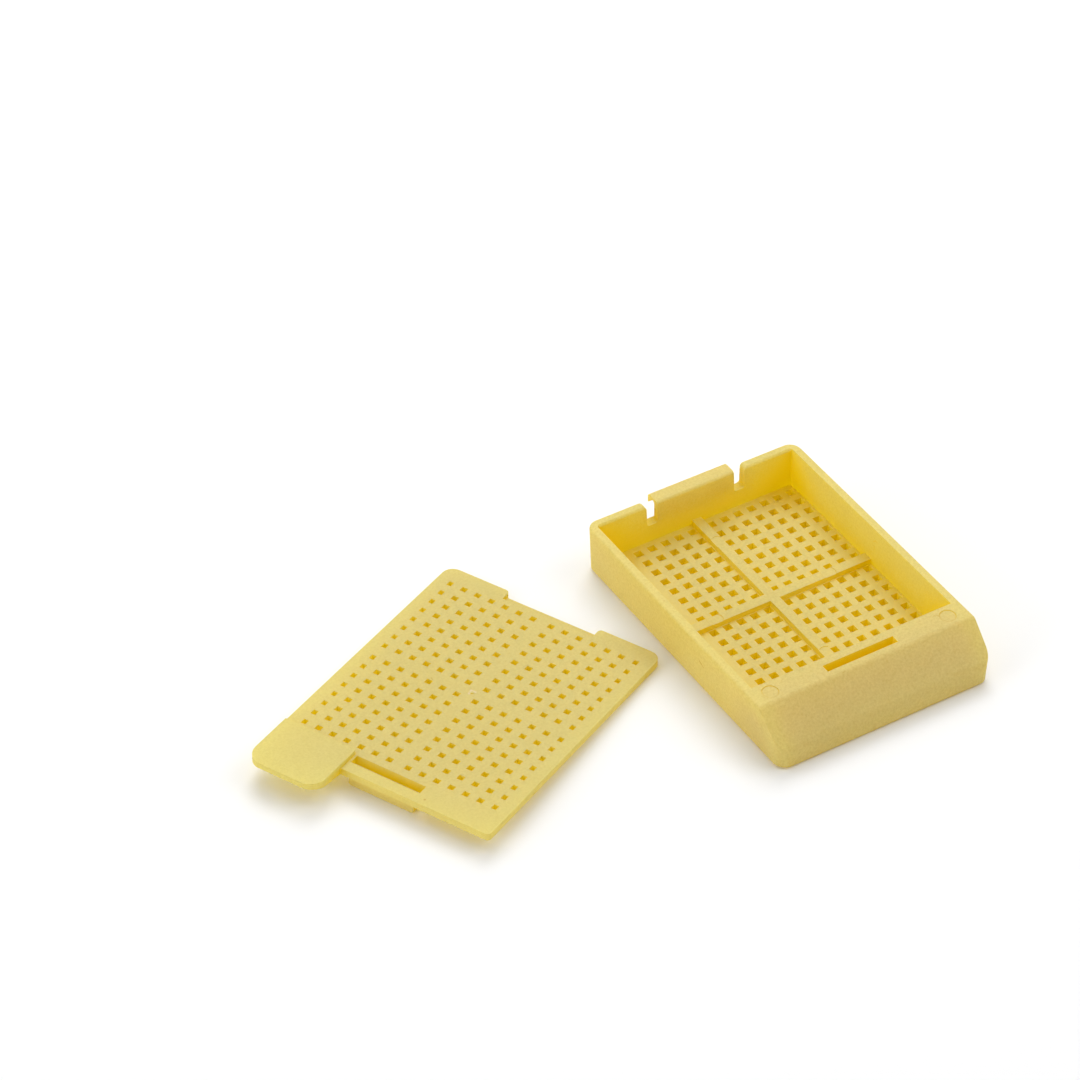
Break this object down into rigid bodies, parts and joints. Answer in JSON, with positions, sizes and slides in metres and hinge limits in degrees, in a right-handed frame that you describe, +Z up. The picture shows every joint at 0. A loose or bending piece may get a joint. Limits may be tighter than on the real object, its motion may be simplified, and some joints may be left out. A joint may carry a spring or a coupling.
{
  "type": "tissue cassette",
  "caption": "Perforated plastic tissue cassette: a shallow divided base with a sloping writing face and a rear hook, with its perforated lid lying beside it.",
  "frame": {"origin": "on the table, in the middle of the underside of the rear wall's foot, below the inner edge of the rear wall", "axes": "+X to the right seen from the writing face, +Y to the rear hook, +Z up; the writing face looks to -Y and the loose lid lies on the -X side"},
  "size_m": [0.0771, 0.0464, 0.0064],
  "materials": {
    "base": "fine matt moulded texture, slightly translucent pale yellow acetal",
    "lid": "fine matt moulded texture, slightly translucent pale yellow acetal"
  },
  "bodies": {
    "root": {"base": "base", "lid": "lid"}
  },
  "joints": []
}
